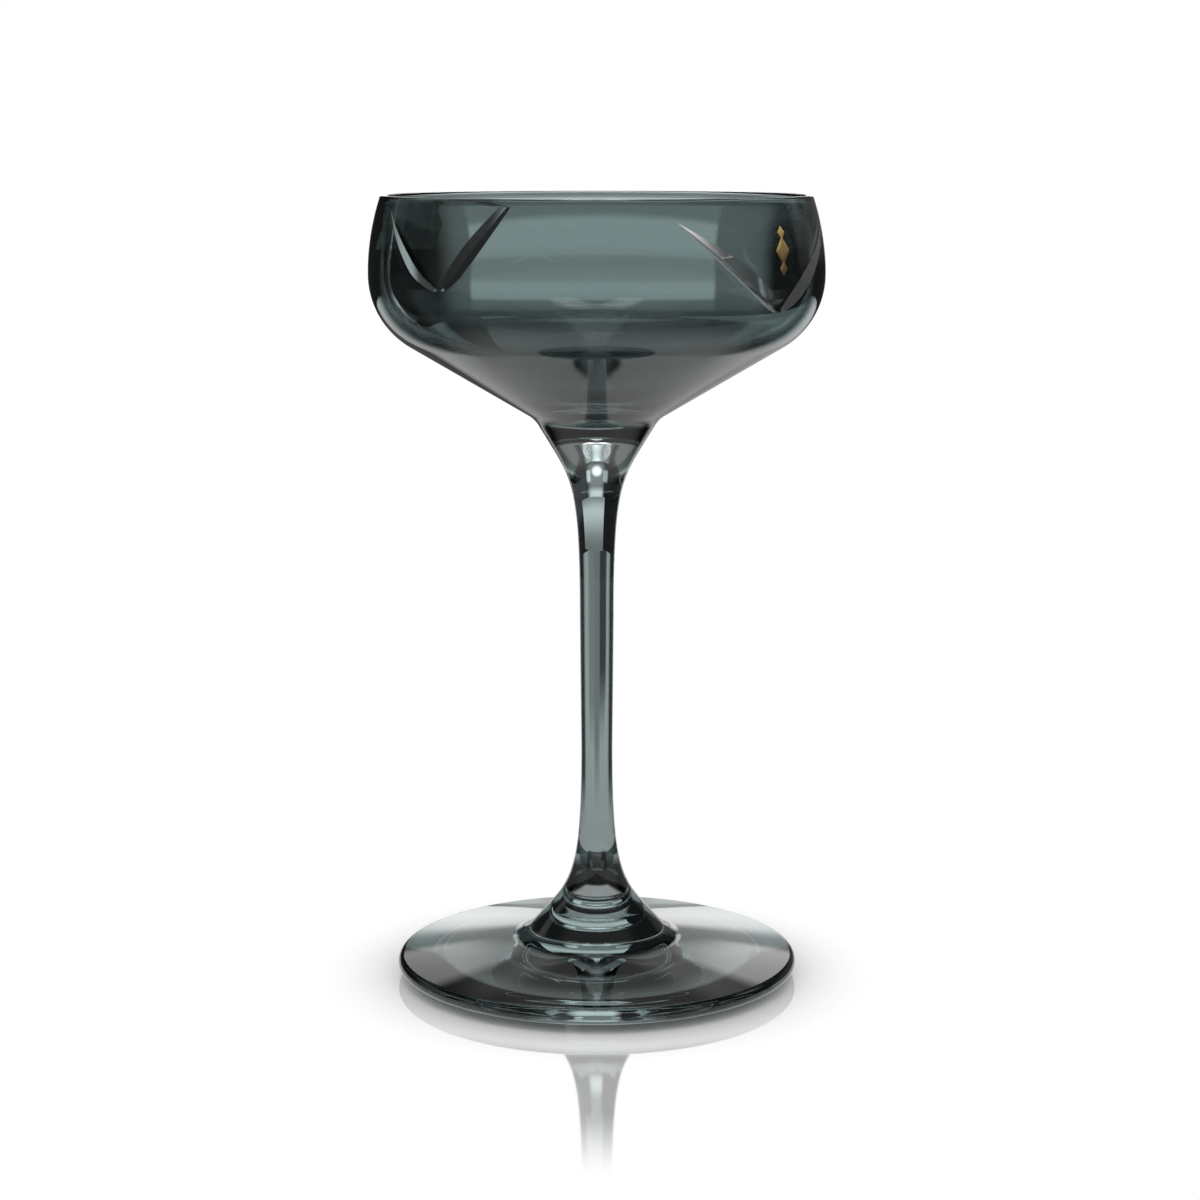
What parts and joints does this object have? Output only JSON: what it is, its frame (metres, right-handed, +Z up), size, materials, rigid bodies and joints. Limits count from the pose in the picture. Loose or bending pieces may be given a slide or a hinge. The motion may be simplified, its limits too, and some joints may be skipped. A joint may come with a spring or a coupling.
{
  "type": "stemmed coupe glass",
  "caption": "Smoked-glass stemmed coupe with a wide shallow bowl, cut V blades and gilt ornaments front and rear, a slim flared stem and a disc foot; holds a drink.",
  "frame": {"origin": "on the table, under the middle of the foot", "axes": "+Z up along the axis of the stem, the front V of cut blades faces -Y, +X to its right"},
  "size_m": [0.095, 0.0952, 0.1669],
  "materials": {
    "smoked_glass": "clear grey-green smoked glass, fire-polished, with polished wheel cuts",
    "gilding": "thin fired-on gold print, satin and a little worn"
  },
  "bodies": {
    "root": {"bowl": "smoked_glass", "stem": "smoked_glass", "foot": "smoked_glass", "ornament_front": "gilding", "ornament_rear": "gilding"}
  },
  "joints": []
}
